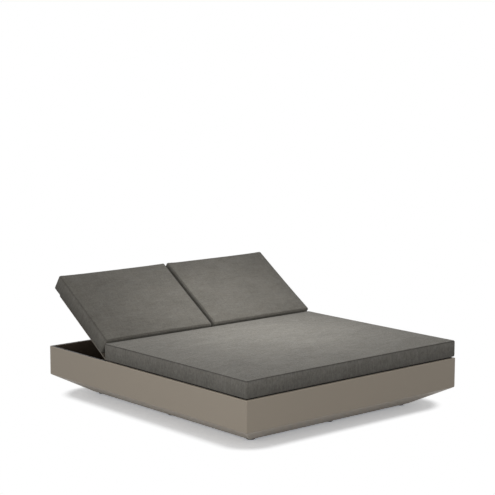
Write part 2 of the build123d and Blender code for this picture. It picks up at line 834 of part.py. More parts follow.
def stay_latch(sign):
    # Fluted latch head that caps the tube and guides the rod.
    bore = rod_radius + rod_clearance
    low = tube_length - latch_overlap
    top = low + latch_length
    shoulder = top - tube_wall * 2
    outline = Polyline((tube_radius, low), (latch_radius, low + tube_wall), (latch_radius, shoulder),
                       (latch_radius - tube_wall * 2, top), (bore, top), (bore, tube_length),
                       (tube_radius, tube_length), close=True)
    head = revolve(make_face(Plane.XZ * outline), Axis.Z)
    from_axis = latch_radius + flute_radius - flute_depth
    flutes = [Rot(0, 0, i * 360 / latch_flutes) * Pos(from_axis, 0, (low + top) / 2) *
              Cylinder(flute_radius, latch_length / 2) for i in range(latch_flutes)]
    return leaned(head - flutes, sign, base_pin_y, base_pin_z)


def stay_rod(sign):
    # Notched rod, made hanging from its eye: each notch is square above and sloped below.
    r = rod_radius
    core = rod_radius - notch_depth
    start = eye_radius - tube_wall
    points = [(0, -start), (r, -start)]
    count = int((rod_length - rod_neck - guide_length * 2) / notch_pitch)
    for index in range(count):
        z = -rod_neck - index * notch_pitch
        points += [(r, z), (core, z), (core, z - notch_depth), (r, z - notch_pitch / 2)]
    points += [(r, -rod_length), (0, -rod_length)]
    rod = revolve(make_face(Plane.XZ * Polyline(*points, close=True)), Axis.Z)
    y, z = top_pin_place(rest_angle)
    return leaned(rod + eye() - pin_bore(), sign, y, z)


def stay_guide(sign):
    # Plastic guide collar on the rod's lower end, sliding in the tube.
    outer = tube_radius - tube_wall - guide_clearance
    ring = Cylinder(outer, guide_length) - Cylinder(rod_radius, guide_length)
    collar = Pos(0, 0, -rod_length + guide_length / 2) * ring
    y, z = top_pin_place(rest_angle)
    return leaned(collar, sign, y, z)


# Cushions

def pad_section(width, length, inset, z, corner):
    # Level outline of a pad: four gently drawn-in sides and four corner arcs.
    w = width / 2 - inset
    d = length / 2 - inset
    r = max(corner - inset, corner / 3)
    k = r * (1 - math.sqrt(0.5))
    pull = side_draw
    edges = [
        ThreePointArc((w, -d + r, z), (w - pull, 0, z), (w, d - r, z)),
        ThreePointArc((w, d - r, z), (w - k, d - k, z), (w - r, d, z)),
        ThreePointArc((w - r, d, z), (0, d - pull, z), (-w + r, d, z)),
        ThreePointArc((-w + r, d, z), (-w + k, d - k, z), (-w, d - r, z)),
        ThreePointArc((-w, d - r, z), (-w + pull, 0, z), (-w, -d + r, z)),
        ThreePointArc((-w, -d + r, z), (-w + k, -d + k, z), (-w + r, -d, z)),
        ThreePointArc((-w + r, -d, z), (0, -d + pull, z), (w - r, -d, z)),
        ThreePointArc((w - r, -d, z), (w - k, -d + k, z), (w, -d + r, z)),
    ]
    return Face(Wire(edges))


def pad(width, length, crown, corner):
    # Crowned pad: rounded lower and upper edges, sides drawn in, a low dome on top.
    edge = cushion_edge
    top = cushion_thickness
    soft = edge * (1 - math.sqrt(0.5))
    short = min(width, length)
    levels = [(0, edge), (soft, soft), (edge, 0), (top / 2, side_draw / 4), (top - edge, 0),
              (top - soft, soft), (top, edge)]
    for share, rise in crown_level_shares:
        levels.append((top + crown * rise, edge + short * share))
    faces = [pad_section(width, length, inset, z, corner) for z, inset in levels]
    return loft(faces, ruled=True)


def seat_mattress():
    width = (half_width - mattress_margin) * 2
    front = -half_length + mattress_margin
    length = mattress_rear_y - front
    return Pos(0, front + length / 2, deck_top_z) * pad(width, length, seat_crown, mattress_corner)


def back_cushion(sign):
    # Lies on the board; it slides up the board as the back rises.
    shift = cushion_flat_start + cushion_travel_per_radian * math.radians(rest_angle)
    z = hinge_z + back_board_thickness / 2 + cloth_gap
    place = Pos(sign * cushion_mid_x, hinge_y + shift + cushion_length / 2, z)
    return raised(place * pad(cushion_width, cushion_length, back_crown, cushion_corner))


def fixed_screws(sign):
    return leaf_screws(sign, -1)


def moving_screws(sign):
    return raised(leaf_screws(sign, 1))


def build():
    os.makedirs("parts", exist_ok=True)
    for make in (base_shell, feet, foot_screws, deck_bearers, hinge_rail, centre_posts, end_brackets,
                 bracket_bolts, deck_screws, well_tray, bulkhead, rim_buffers, seat_mattress):
        save(make.__name__, make())
    for make in (deck_board, hinge_fixed_leaves, hinge_pins, fixed_screws, hinge_moving_leaves,
                 moving_screws, back_board, frame_cross_rails, frame_side_rails, board_screws,
                 stay_spreader, stay_base_clevis, stay_base_pin, stay_base_bolts, stay_top_clevis,
                 stay_top_pin, stay_top_bolts, stay_tube, stay_latch, stay_rod, stay_guide,
                 back_cushion):
        save("left_" + make.__name__, make(-1))
        save("right_" + make.__name__, make(1))


build()
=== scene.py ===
# Double chaise lounger: floating base, one seat mattress and two reclining back cushions
import json
import math
import bpy
import numpy as np
from mathutils import Matrix, Vector


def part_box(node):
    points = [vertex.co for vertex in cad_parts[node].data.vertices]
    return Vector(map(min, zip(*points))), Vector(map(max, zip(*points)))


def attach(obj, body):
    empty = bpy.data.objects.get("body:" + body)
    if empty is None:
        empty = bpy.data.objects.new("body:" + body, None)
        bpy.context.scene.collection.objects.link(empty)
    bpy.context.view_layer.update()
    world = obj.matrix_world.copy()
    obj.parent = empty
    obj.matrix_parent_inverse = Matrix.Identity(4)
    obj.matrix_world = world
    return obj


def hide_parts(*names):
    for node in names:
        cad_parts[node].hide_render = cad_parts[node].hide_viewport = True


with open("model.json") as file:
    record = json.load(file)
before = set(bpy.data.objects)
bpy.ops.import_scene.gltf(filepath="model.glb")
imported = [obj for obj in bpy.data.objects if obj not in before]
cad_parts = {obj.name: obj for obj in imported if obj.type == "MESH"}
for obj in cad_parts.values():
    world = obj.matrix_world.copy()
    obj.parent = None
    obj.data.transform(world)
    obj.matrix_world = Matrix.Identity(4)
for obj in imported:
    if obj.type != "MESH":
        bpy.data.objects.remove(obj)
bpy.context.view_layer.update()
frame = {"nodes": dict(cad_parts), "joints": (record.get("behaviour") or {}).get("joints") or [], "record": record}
nodes = frame["nodes"]
scene = bpy.context.scene
print("frame loaded")


# Helpers for nodes and meshes

def addNode(tree, kind, values=None, **settings):
    # Inputs take sockets of other nodes or plain values; returns the node's outputs
    node = tree.nodes.new(kind)
    for key, value in settings.items():
        setattr(node, key, value)
    for key, value in (values or {}).items():
        if isinstance(value, bpy.types.NodeSocket):
            tree.links.new(value, node.inputs[key])
        else:
            node.inputs[key].default_value = value
    return node.outputs


def newPiece(name, points, edges, faces, materials=()):
    # A linked object with a plain mesh of its own
    mesh = bpy.data.meshes.new(name)
    mesh.from_pydata([tuple(p) for p in points], edges, faces)
    for material in materials:
        mesh.materials.append(material)
    piece = bpy.data.objects.new(name, mesh)
    scene.collection.objects.link(piece)
    return piece


def meshPoints(mesh):
    points = np.zeros(len(mesh.vertices) * 3, np.float64)
    mesh.vertices.foreach_get("co", points)
    return points.reshape(-1, 3)


# Shader helper: maths on sockets is written as plain expressions

class Wire:
    def __init__(self, shader, socket):
        self.shader = shader
        self.socket = socket

    def maths(self, operation, other=None, swapped=False):
        values = [self] if other is None else [self, other]
        if swapped:
            values.reverse()
        return self.shader.add("ShaderNodeMath", {"operation": operation}, dict(enumerate(values)))

    def __add__(self, other):
        return self.maths("ADD", other)

    def __radd__(self, other):
        return self.maths("ADD", other, True)

    def __sub__(self, other):
        return self.maths("SUBTRACT", other)

    def __rsub__(self, other):
        return self.maths("SUBTRACT", other, True)

    def __mul__(self, other):
        return self.maths("MULTIPLY", other)

    def __rmul__(self, other):
        return self.maths("MULTIPLY", other, True)

    def __pow__(self, other):
        return self.maths("POWER", other)

    def sine(self):
        return self.maths("SINE")

    def size(self):
        return self.maths("ABSOLUTE")

    def least(self, other):
        return self.maths("MINIMUM", other)

    def most(self, other):
        return self.maths("MAXIMUM", other)

    def over(self, other):
        return self.maths("GREATER_THAN", other)


class Shader:
    def __init__(self, name):
        self.material = bpy.data.materials.new(name)
        self.material.use_nodes = True
        self.tree = self.material.node_tree
        self.tree.nodes.clear()
        self.exit = self.tree.nodes.new("ShaderNodeOutputMaterial")

    def add(self, kind, settings=None, values=None, output=0):
        node = self.tree.nodes.new(kind)
        for key, value in (settings or {}).items():
            setattr(node, key, value)
        for key, value in (values or {}).items():
            self.feed(node.inputs[key], value)
        return Wire(self, node.outputs[output])

    def feed(self, socket, value):
        if isinstance(value, Wire):
            self.tree.links.new(value.socket, socket)
        elif isinstance(value, (tuple, list)) and len(value) == 3 and len(socket.default_value) == 4:
            socket.default_value = (*value, 1)
        else:
            socket.default_value = value

    def place(self, turn=(0, 0, 0)):
        # Object coordinates, turned where a pattern follows a tilted piece
        source = self.add("ShaderNodeTexCoord", output="Object")
        return self.add("ShaderNodeMapping", {"vector_type": "POINT"}, {"Vector": source, "Rotation": turn})

    def split(self, vector):
        node = self.tree.nodes.new("ShaderNodeSeparateXYZ")
        self.feed(node.inputs[0], vector)
        return [Wire(self, out) for out in node.outputs]

    def noise(self, vector, scale, detail, roughness, stretch=None):
        if stretch:
            vector = self.add("ShaderNodeVectorMath", {"operation": "MULTIPLY"}, {0: vector, 1: stretch})
        return self.add("ShaderNodeTexNoise", {}, {"Vector": vector, "Scale": scale, "Detail": detail,
                                                   "Roughness": roughness})

    def marked(self, attribute):
        # A number that the mesh stores on its points
        return self.add("ShaderNodeAttribute", {"attribute_name": attribute}, output="Fac")

    def mix(self, mask, first, second, blend="MIX"):
        # Inputs 6 and 7 and output 2 are the node's colours
        return self.add("ShaderNodeMix", {"data_type": "RGBA", "blend_type": blend},
                        {0: mask, 6: first, 7: second}, 2)

    def shade(self, colour, factor):
        # Multiplies a colour by a number that varies over the surface
        grey = self.add("ShaderNodeCombineColor", {}, {0: factor, 1: factor, 2: factor})
        return self.mix(1.0, colour, grey, "MULTIPLY")

    def bump(self, height, strength, distance, normal=None):
        values = {"Height": height, "Strength": strength, "Distance": distance}
        if normal is not None:
            values["Normal"] = normal
        return self.add("ShaderNodeBump", {}, values)

    def finish(self, **values):
        names = {key.replace("_", " "): value for key, value in values.items()}
        surface = self.add("ShaderNodeBsdfPrincipled", {}, names)
        self.tree.links.new(surface.socket, self.exit.inputs["Surface"])
        return self.material


def linear(red, green, blue):
    # An eight bit screen colour as the linear colour that a shader takes
    shares = [channel / 255 for channel in (red, green, blue)]
    return tuple(s / 12.92 if s <= 0.04045 else ((s + 0.055) / 1.055) ** 2.4 for s in shares)


def tinted(colour, factors):
    return tuple(channel * factor for channel, factor in zip(colour, factors))


# Materials

clothLook = {
    "colour": {"seat": (136, 133, 126), "back": (119, 116, 109)},
    "bundles": {"seat": 0.85, "back": 0.55},
    # Painted shade: each pad's bands are its top cloth made darker
    "paintedBandShade": {"seat": 0.71, "back": 0.85},
    # Painted shade in the seams, by pad
    "seamPaintedShade": {"seat": 0.7, "back": 0.3},
    "threadPitch": 0.0026,
    "weave": 0.06,
    # Painted light and shade on the bands: lighter towards their top, darker towards their bottom
    "paintedHeightShade": 0.5,
    "warm": (1.03, 1.0, 0.96),
    "cool": (0.98, 1.0, 1.03),
    "roughness": 0.92,
}

# Scale, detail and roughness of each noise in the cloth, and its stretch along the cloth's axes
clothNoises = {
    "both": {
        "mottle": (7, 5, 0.62, (0.5, 1, 1)),
        "patches": (30, 4, 0.6, (0.45, 1, 1)),
        "fleck": (700, 1, 0.5),
        "bundles": (88, 2, 0.7, (1, 1, 0.6)),
        "creases": (11, 3, 0.5, (1, 0.5, 0.6)),
    },
    "top": {"slubMain": (130, 4, 0.62, (0.09, 1, 0.3)), "slubCross": (190, 3, 0.6, (1, 0.07, 0.3))},
    "band": {"slubMain": (150, 3, 0.6, (1, 1, 0.05)), "slubCross": (260, 2, 0.5, (0.06, 0.06, 1))},
}

# How strongly each noise changes the tone of the cloth
clothTones = {
    "both": {"mottle": 0.42, "patches": 0.378, "fleck": 0.25},
    "top": {"slubMain": 0.42, "slubCross": 0.294},
    "band": {"slubMain": 0.483, "slubCross": 0.168},
}


def clothMaterial(name, pad, turn, band=False):
    # Melange outdoor weave: threads, slubs and soft mottling; bands show their slubs upright and take painted
    # shade, lighter towards their top; seams take painted shade
    shader = Shader(name)
    side = "band" if band else "top"
    # Painted shade: a band is the top cloth made darker
    shade = clothLook["paintedBandShade"][pad] if band else 1
    base = tinted(linear(*clothLook["colour"][pad]), (shade,) * 3)
    place = shader.place(turn)
    u, v, w = shader.split(place)
    wave = 2 * math.pi / clothLook["threadPitch"]
    across, along = (u + v, w) if band else (u, v)
    weave = (across * wave).sine() * (along * wave).sine()
    recipes = clothNoises["both"] | clothNoises[side]
    noises = {key: shader.noise(place, *recipe) for key, recipe in recipes.items()}
    tones = clothTones["both"] | clothTones[side] | {"bundles": clothLook["bundles"][pad]}
    tone = 1 + weave * clothLook["weave"]
    for key, strength in tones.items():
        tone = tone + (noises[key] - 0.5) * strength
    # Painted light and shade: the band is lighter towards its top and darker towards its bottom
    if band:
        tone = tone * (1 + (shader.marked("height") - 0.5) * clothLook["paintedHeightShade"])
    # Painted shade in the seams
    tone = tone * (1 - shader.marked("seam") * clothLook["seamPaintedShade"][pad])
    patched = shader.mix(noises["patches"], tinted(base, clothLook["warm"]), tinted(base, clothLook["cool"]))
    threads = weave * 0.5 + noises["slubMain"] + noises["slubCross"] * 0.6
    creased = shader.bump(noises["creases"], strength=0.35, distance=0.006)
    normal = shader.bump(threads, strength=0.5, distance=0.0009, normal=creased)
    return shader.finish(Base_Color=shader.shade(patched, tone), Roughness=clothLook["roughness"],
                         Normal=normal, Sheen_Weight=0.1, Sheen_Roughness=0.5, Specular_IOR_Level=0.2)


shellLook = {
    "colour": (171, 160, 145),
    "roughness": 0.5,
    "specular": 0.33,
    "grain": 0.00012,
    "edgeBand": 0.006,
    "edgeFade": 0.0025,
    "highlightShare": 0.4,
    "highlightLift": 1.6,
    "lining": (30, 27, 24),
    "liningInset": 0.0015,
    "liningDepth": 0.0005,
}


def shellMaterial():
    # Satin moulded shell with fine grain, faint clouding, a painted highlight along the top edge of its walls,
    # and the rim's top beside the well painted near black
    shader = Shader("taupeShell")
    place = shader.place()
    x, y, z = shader.split(place)
    base = linear(*shellLook["colour"])
    clouds = shader.noise(place, scale=3.2, detail=4, roughness=0.55)
    specks = shader.noise(place, scale=420, detail=2, roughness=0.6)
    tone = 0.985 + (clouds - 0.5) * 0.06 + (specks - 0.5) * 0.03
    top = frameSizes["rim"]
    # Painted highlight: the top few millimetres of the walls are lightened where light catches the rim's edge,
    # broken up by noise
    highlightNoise = 0.75 + 0.8 * (shader.noise(place, scale=26, detail=3, roughness=0.6) - 0.5)
    paintedHighlight = ((z - (top - shellLook["edgeBand"])) * (1 / shellLook["edgeFade"])).most(0).least(1) * highlightNoise
    colour = shader.mix(paintedHighlight * shellLook["highlightShare"], shader.shade(base, tone),
                        tinted(base, (shellLook["highlightLift"],) * 3))
    # The rim's top beside the well is painted near black, up to just short of the outer faces
    low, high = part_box("base_shell")
    inset = shellLook["liningInset"]
    inside = (high.x - inset - x.size()).over(0) * (high.y - inset - y).over(0)
    onRim = (z - (top - shellLook["liningDepth"])).over(0)
    darkWellRim = inside * (y - frameSizes["wellStart"]).over(0) * onRim
    colour = shader.mix(darkWellRim, colour, linear(*shellLook["lining"]))
    roughness = shellLook["roughness"] + (clouds - 0.5) * 0.12 + (specks - 0.5) * 0.1
    return shader.finish(Base_Color=colour, Roughness=roughness,
                         Normal=shader.bump(specks, strength=0.35, distance=shellLook["grain"]),
                         Specular_IOR_Level=shellLook["specular"])


def mouldedMaterial(name, colour, roughness, grainScale=300.0, grain=0.0003, spread=0.15):
    # Moulded plastic or rubber with its own grain and faint handling marks
    shader = Shader(name)
    place = shader.place()
    base = linear(*colour)
    grainNoise = shader.noise(place, scale=grainScale, detail=3, roughness=0.6)
    marks = shader.noise(place, scale=18, detail=4, roughness=0.6)
    tone = 1 + (marks - 0.5) * spread + (grainNoise - 0.5) * spread
    return shader.finish(Base_Color=shader.shade(base, tone), Roughness=roughness + (marks - 0.5) * 0.2,
                         Normal=shader.bump(grainNoise, strength=0.4, distance=grain),
                         Specular_IOR_Level=0.4)


def coatedMetal(name, colour, roughness):
    # Powder coat: orange peel and a little dust in the noise
    shader = Shader(name)
    place = shader.place()
    base = linear(*colour)
    peel = shader.noise(place, scale=650, detail=2, roughness=0.5)
    dust = shader.noise(place, scale=12, detail=5, roughness=0.65)
    tone = 1 + (dust - 0.5) * 0.3
    return shader.finish(Base_Color=shader.shade(base, tone), Roughness=roughness + (dust - 0.5) * 0.18,
                         Normal=shader.bump(peel, strength=0.5, distance=0.00025), Specular_IOR_Level=0.5)


def brushedSteel(name, direction):
    # Stainless steel with brushing along one axis and light smears
    shader = Shader(name)
    place = shader.place()
    lines = shader.noise(place, scale=900, detail=2, roughness=0.6, stretch=direction)
    smears = shader.noise(place, scale=40, detail=3, roughness=0.6)
    roughness = 0.28 + (lines - 0.5) * 0.25 + (smears - 0.5) * 0.1
    return shader.finish(Base_Color=shader.mix(smears, linear(196, 196, 192), linear(170, 169, 164)),
                         Metallic=1.0, Roughness=roughness,
                         Normal=shader.bump(lines, strength=0.3, distance=0.00008))


def panelMaterial(name, colour, roughness):
    # Compact panel with a fine fibre print and faint clouding
    shader = Shader(name)
    place = shader.place()
    base = linear(*colour)
    fibre = shader.noise(place, scale=300, detail=3, roughness=0.6, stretch=(0.1, 1, 1))
    clouds = shader.noise(place, scale=7, detail=4, roughness=0.6)
    tone = 1 + (fibre - 0.5) * 0.14 + (clouds - 0.5) * 0.12
    return shader.finish(Base_Color=shader.shade(base, tone), Roughness=roughness + (clouds - 0.5) * 0.15,
                         Normal=shader.bump(fibre, strength=0.3, distance=0.0001), Specular_IOR_Level=0.4)


# Sizes and places read from the frame

frameSizes = {"rim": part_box("base_shell")[1].z, "wellStart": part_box("seat_mattress")[1].y}


def jointNamed(name):
    return next(joint for joint in frame["joints"] if joint["name"] == name)


def backPlace(side):
    # Rest angle of a back, and the matrix from the lying back's own axes to the frame
    hinge = Vector(jointNamed(side + "_back_tilt")["pos_m"])
    slide = jointNamed(side + "_cushion_slide")["axis"]
    angle = math.atan2(slide[2], slide[1])
    return angle, Matrix.Translation((0, hinge.y, hinge.z)) @ Matrix.Rotation(angle, 4, "X")


# Pads: a block of quads with its seams on two rings, swollen by cloth pressure

padLook = {
    "arcSteps": 4,
    "arcAngles": (0, 22, 40, 50, 58, 66, 78, 90),  # levels of the top rounding, in degrees
    "seamAngle": 58,
    "stitchAngle": 22,
    "seamShadeByLevel": {-2: 0.35, -1: 0.9, 0: 1.0, 1: 0.9, 2: 0.35},  # shade by level, away from the seam
    "roundSteps": 4,
    "topRoll": 0.002,
    "rollPower": 4,
    "domePower": 2.6,
    "domeEase": 0.8,
    "domeDepth": 3,
    "drawPower": 8,
    "rearShare": 0.9,
    "jitter": 0.0003,
    "frames": 20,
    "cap": 0.009,
    "flatBelow": 0.0005,
    "seamDepth": 0.0024,
    "besideDepth": 0.0007,
    "stitchPitch": 0.0095,
    "stitchLength": 0.0065,
    "stitchRadius": 0.0008,
    "stitchLiftShare": 0.4,
}

clothSettings = {
    "quality": 5,
    "mass": 0.3,
    "tension_stiffness": 25,
    "compression_stiffness": 25,
    "shear_stiffness": 12,
    "bending_stiffness": 0.8,
    "use_pressure": True,
    "uniform_pressure_force": 4.0,
    "vertex_group_shrink": "seams",
    "shrink_min": -0.004,  # slack of the panels
    "shrink_max": 0.004,  # how short the seams are held
}

tiny = 1e-12  # keeps a length that is divided by above zero


def gridLines(half, corner, cell):
    # Even lines on the flat part, then lines that cut the corner into equal arcs
    flat = half - corner
    count = max(2, round(2 * flat / cell))
    inner = [-flat + 2 * flat * i / count for i in range(count + 1)]
    steps = padLook["arcSteps"]
    arc = [flat + corner * math.tan(math.radians(45 * i / steps)) for i in range(1, steps + 1)]
    return [-a for a in reversed(arc)] + inner + arc


def topArc(look, angle):
    # Height above the start of the top rounding and inset from the outline
    rise = (look["topRound"] - padLook["topRoll"]) * math.sin(math.radians(angle))
    return rise, look["topTuck"] * (1 - math.cos(math.radians(angle)))


def bandProfile(height, look):
    # Heights from the underside and insets there, with the number of the upper seam's level
    steps = padLook["roundSteps"]
    levels = []
    for i in range(steps + 1):
        angle = math.radians(90 * i / steps)
        rise = look["bottomRound"] * (1 - math.cos(angle))
        levels.append((rise, look["bottomTuck"] * (1 - math.sin(angle))))
    low, high = look["bottomRound"], height - look["topRound"]
    count = max(1, round((high - low) / look["cell"]))
    levels += [(low + (high - low) * i / count, 0) for i in range(1, count)]
    seamLevel = len(levels) + padLook["arcAngles"].index(padLook["seamAngle"])
    for angle in padLook["arcAngles"]:
        rise, inset = topArc(look, angle)
        levels.append((high + rise, inset))
    return levels, seamLevel


def blockQuads(last, seamLevel):
    # Quads on the six sides of a block of grid points: the points' numbers, the quads as numbers
    # with their faces outwards, and a flag for each quad of the band
    numbers = {}
    quads = []
    bands = []
    for fixed in range(3):
        a, b = (fixed + 1) % 3, (fixed + 2) % 3
        for end in (0, last[fixed]):
            for i in range(last[a]):
                for j in range(last[b]):
                    quad = []
                    for di, dj in ((0, 0), (1, 0), (1, 1), (0, 1)):
                        spot = [0, 0, 0]
                        spot[fixed], spot[a], spot[b] = end, i + di, j + dj
                        quad.append(tuple(spot))
                    low = min(spot[2] for spot in quad)
                    numbered = [numbers.setdefault(spot, len(numbers)) for spot in quad]
                    quads.append(numbered if end else numbered[::-1])
                    bands.append(fixed != 2 and low < seamLevel)
    return numbers, quads, bands


def padMesh(size, look):
    # Points, quads, the band flag of each quad, and the rings of points at every level
    half = [s / 2 for s in size]
    radius = look["corner"]
    lines = [gridLines(half[axis], radius, look["cell"]) for axis in (0, 1)]
    levels, seamLevel = bandProfile(size[2], look)
    last = [len(lines[0]) - 1, len(lines[1]) - 1, len(levels) - 1]
    numbers, quads, bands = blockQuads(last, seamLevel)
    around = [(i, 0) for i in range(last[0])] + [(last[0], j) for j in range(last[1])]
    around += [(i, last[1]) for i in range(last[0], 0, -1)] + [(0, j) for j in range(last[1], 0, -1)]
    rings = [[numbers[i, j, k] for i, j in around] for k in range(last[2] + 1)]
    spots = np.array(list(numbers))
    plan = np.stack([np.array(lines[axis])[spots[:, axis]] for axis in (0, 1)], 1)
    height, inset = np.array(levels)[spots[:, 2]].T
    flat = np.array([half[0] - radius, half[1] - radius])
    core = np.clip(plan, -flat, flat)
    away = (plan - core) / radius
    reach = np.abs(away).max(1)
    direction = away / np.maximum(np.linalg.norm(away, axis=1), tiny)[:, None]
    outline = core + direction * ((radius - inset) * reach)[:, None]
    roll = padLook["topRoll"] * (1 - np.clip(reach, 0, 1) ** padLook["rollPower"])
    height = height + np.where(spots[:, 2] == last[2], roll, 0)
    points = np.column_stack([outline, height - half[2]])
    return points, quads, bands, rings, seamLevel


def crowned(points, half, look):
    # Low dome on the top panel, sides drawn in between the corners, rear lower edge cut back
    x, y, z = points.T
    u, v = np.minimum(np.abs(x / half[0]), 1), np.minimum(np.abs(y / half[1]), 1)
    power, ease, draw = padLook["domePower"], padLook["domeEase"], padLook["drawPower"]
    rise = look["crown"] * (1 - u ** power) ** ease * (1 - v ** power) ** ease
    lifted = z + rise * np.clip((z + half[2]) / (2 * half[2]), 0, 1) ** padLook["domeDepth"]
    pulledX = x - np.sign(x) * look["draw"] * (1 - v ** 2) * u ** draw
    pulledY = y - np.sign(y) * look["draw"] * (1 - u ** 2) * v ** draw
    lowness = np.clip(1 - (z + half[2]) / (2 * look["bottomRound"]), 0, 1)
    pulledY -= look["rearTuck"] * lowness * (y > half[1] * padLook["rearShare"])
    return np.stack([pulledX, pulledY, lifted], 1)


def swollen(name, points, quads, rings, seed):
    # Cloth under pressure with the seams held short; returns the settled points
    random = np.random.default_rng(seed)
    start = points + random.normal(0, padLook["jitter"], points.shape)
    body = newPiece(name, start.tolist(), [], quads)
    seams = body.vertex_groups.new(name="seams")
    for ring in rings:
        seams.add(ring, 1.0, "REPLACE")
    modifier = body.modifiers.new("pressure", "CLOTH")
    for key, value in clothSettings.items():
        setattr(modifier.settings, key, value)
    modifier.settings.effector_weights.gravity = 0
    modifier.collision_settings.use_collision = False
    modifier.collision_settings.use_self_collision = False
    modifier.point_cache.frame_start = 1
    modifier.point_cache.frame_end = padLook["frames"]
    for number in range(1, padLook["frames"] + 1):
        scene.frame_set(number)
    graph = bpy.context.evaluated_depsgraph_get()
    settled = bpy.data.meshes.new_from_object(body.evaluated_get(graph))
    result = meshPoints(settled)
    bpy.data.objects.remove(body)
    bpy.data.meshes.remove(settled)
    scene.frame_set(1)
    return result


def limited(points, settled, half):
    # Caps how far a point may move, keeps the underside flat and the outline to size
    move = settled - points
    distance = np.maximum(np.linalg.norm(move, axis=1), tiny)
    kept = np.tanh(distance / padLook["cap"]) * padLook["cap"]
    moved = points + move * (kept / distance)[:, None]
    for axis in (0, 1):
        moved[:, axis] *= half[axis] / np.abs(moved[:, axis]).max()
    low = -half[2]
    moved[:, 2] = np.maximum(moved[:, 2], low)
    moved[points[:, 2] < low + padLook["flatBelow"], 2] = low
    return moved


def meshNormals(points, quads):
    faces = np.array(quads)
    corners = points[faces]
    flat = np.cross(corners[:, 2] - corners[:, 0], corners[:, 3] - corners[:, 1])
    normals = np.zeros_like(points)
    for column in range(4):
        np.add.at(normals, faces[:, column], flat)
    return normals / np.maximum(np.linalg.norm(normals, axis=1), tiny)[:, None]


# Stitches and zip teeth: one tree places a thread along any seam path

def rowOfThreads():
    tree = bpy.data.node_groups.new("stitchRow", "GeometryNodeTree")
    kinds = {"Geometry": "Geometry", "Pitch": "Float", "Length": "Float", "Radius": "Float",
             "Thread": "Material"}
    for name, kind in kinds.items():
        tree.interface.new_socket(name, in_out="INPUT", socket_type="NodeSocket" + kind)
    tree.interface.new_socket("Geometry", in_out="OUTPUT", socket_type="NodeSocketGeometry")
    given = addNode(tree, "NodeGroupInput")
    curve = addNode(tree, "GeometryNodeMeshToCurve", {"Mesh": given["Geometry"]})
    spaced = addNode(tree, "GeometryNodeResampleCurve",
                     {"Curve": curve["Curve"], "Length": given["Pitch"]}, mode="LENGTH")
    tangent = addNode(tree, "GeometryNodeInputTangent")
    turned = addNode(tree, "FunctionNodeAlignRotationToVector", {"Vector": tangent["Tangent"]}, axis="Z")
    bead = addNode(tree, "GeometryNodeMeshUVSphere",
                   {"Segments": 6, "Rings": 4, "Radius": given["Radius"]})
    half = addNode(tree, "ShaderNodeMath", {0: given["Length"], 1: 0.5}, operation="MULTIPLY")
    ratio = addNode(tree, "ShaderNodeMath", {0: half[0], 1: given["Radius"]}, operation="DIVIDE")
    scale = addNode(tree, "ShaderNodeCombineXYZ", {0: 1, 1: 1, 2: ratio[0]})
    placed = addNode(tree, "GeometryNodeInstanceOnPoints",
                     {"Points": spaced["Curve"], "Instance": bead["Mesh"],
                      "Rotation": turned["Rotation"], "Scale": scale["Vector"]})
    real = addNode(tree, "GeometryNodeRealizeInstances", {"Geometry": placed["Instances"]})
    painted = addNode(tree, "GeometryNodeSetMaterial",
                      {"Geometry": real["Geometry"], "Material": given["Thread"]})
    addNode(tree, "NodeGroupOutput", {"Geometry": painted["Geometry"]})
    return tree


def grown(name, path, tree, values, material, closed=True):
    # Runs a tree on a path of points and keeps the result as a plain mesh
    count = len(path)
    edges = [(i, (i + 1) % count) for i in range(count if closed else count - 1)]
    piece = newPiece(name, path, edges, [])
    modifier = piece.modifiers.new("tree", "NODES")
    modifier.node_group = tree
    inputs = [item for item in tree.interface.items_tree if item.in_out == "INPUT"]
    sockets = {item.name: item.identifier for item in inputs}
    for key, value in values.items():
        modifier[sockets[key]] = value
    graph = bpy.context.evaluated_depsgraph_get()
    made = bpy.data.meshes.new_from_object(piece.evaluated_get(graph))
    piece.modifiers.remove(modifier)
    piece.data = made
    made.materials.clear()
    made.materials.append(material)
    return piece


# Zip on a pad's rear band: tape, coil and slider

zipLook = {
    "reach": 0.82,
    "heightShare": 0.3,
    "tapeHalf": 0.0125,
    "tapeRise": 0.0012,
    "toothPitch": 0.0034,
    "toothLength": 0.003,
    "toothRadius": 0.0017,
    "sliderSize": (0.011, 0.0038, 0.009),
    "tabSize": (0.005, 0.0014, 0.026),
    "edgeRound": 0.0005,
    "edgeSteps": 2,
}


def boxMesh(name, boxes, toFrame, material):
    # One mesh of plain boxes, each given by its middle and its full size, with rounded edges
    points = []
    quads = []
    for centre, size in boxes:
        start = len(points)
        for k in range(8):
            signs = ((k & 1) * 2 - 1, (k >> 1 & 1) * 2 - 1, (k >> 2 & 1) * 2 - 1)
            points.append(toFrame @ Vector([c + s * d / 2 for c, s, d in zip(centre, signs, size)]))
        for quad in ((0, 2, 3, 1), (4, 5, 7, 6), (0, 1, 5, 4), (2, 6, 7, 3), (0, 4, 6, 2), (1, 3, 7, 5)):
            quads.append([start + q for q in quad])
    piece = newPiece(name, points, [], quads, [material])
    rounded = piece.modifiers.new("rounded", "BEVEL")
    rounded.width = zipLook["edgeRound"]
    rounded.segments = zipLook["edgeSteps"]
    return piece


def zipTape(name, path, normals, toFrame, material):
    # Closed ribbon along the path, standing a little off the cloth
    half, rise = zipLook["tapeHalf"], zipLook["tapeRise"]
    sections = []
    for point, normal in zip(path, normals):
        for out, up in ((rise, -half), (rise, half), (-rise, half), (-rise, -half)):
            sections.append(toFrame @ Vector(point + normal * out + np.array([0, 0, up])))
    last = len(path) - 1
    quads = [(0, 3, 2, 1), tuple(last * 4 + k for k in range(4))]
    for i in range(last):
        for k in range(4):
            a, b = i * 4 + k, i * 4 + (k + 1) % 4
            quads.append((a, b, b + 4, a + 4))
    return newPiece(name, sections, [], quads, [material])


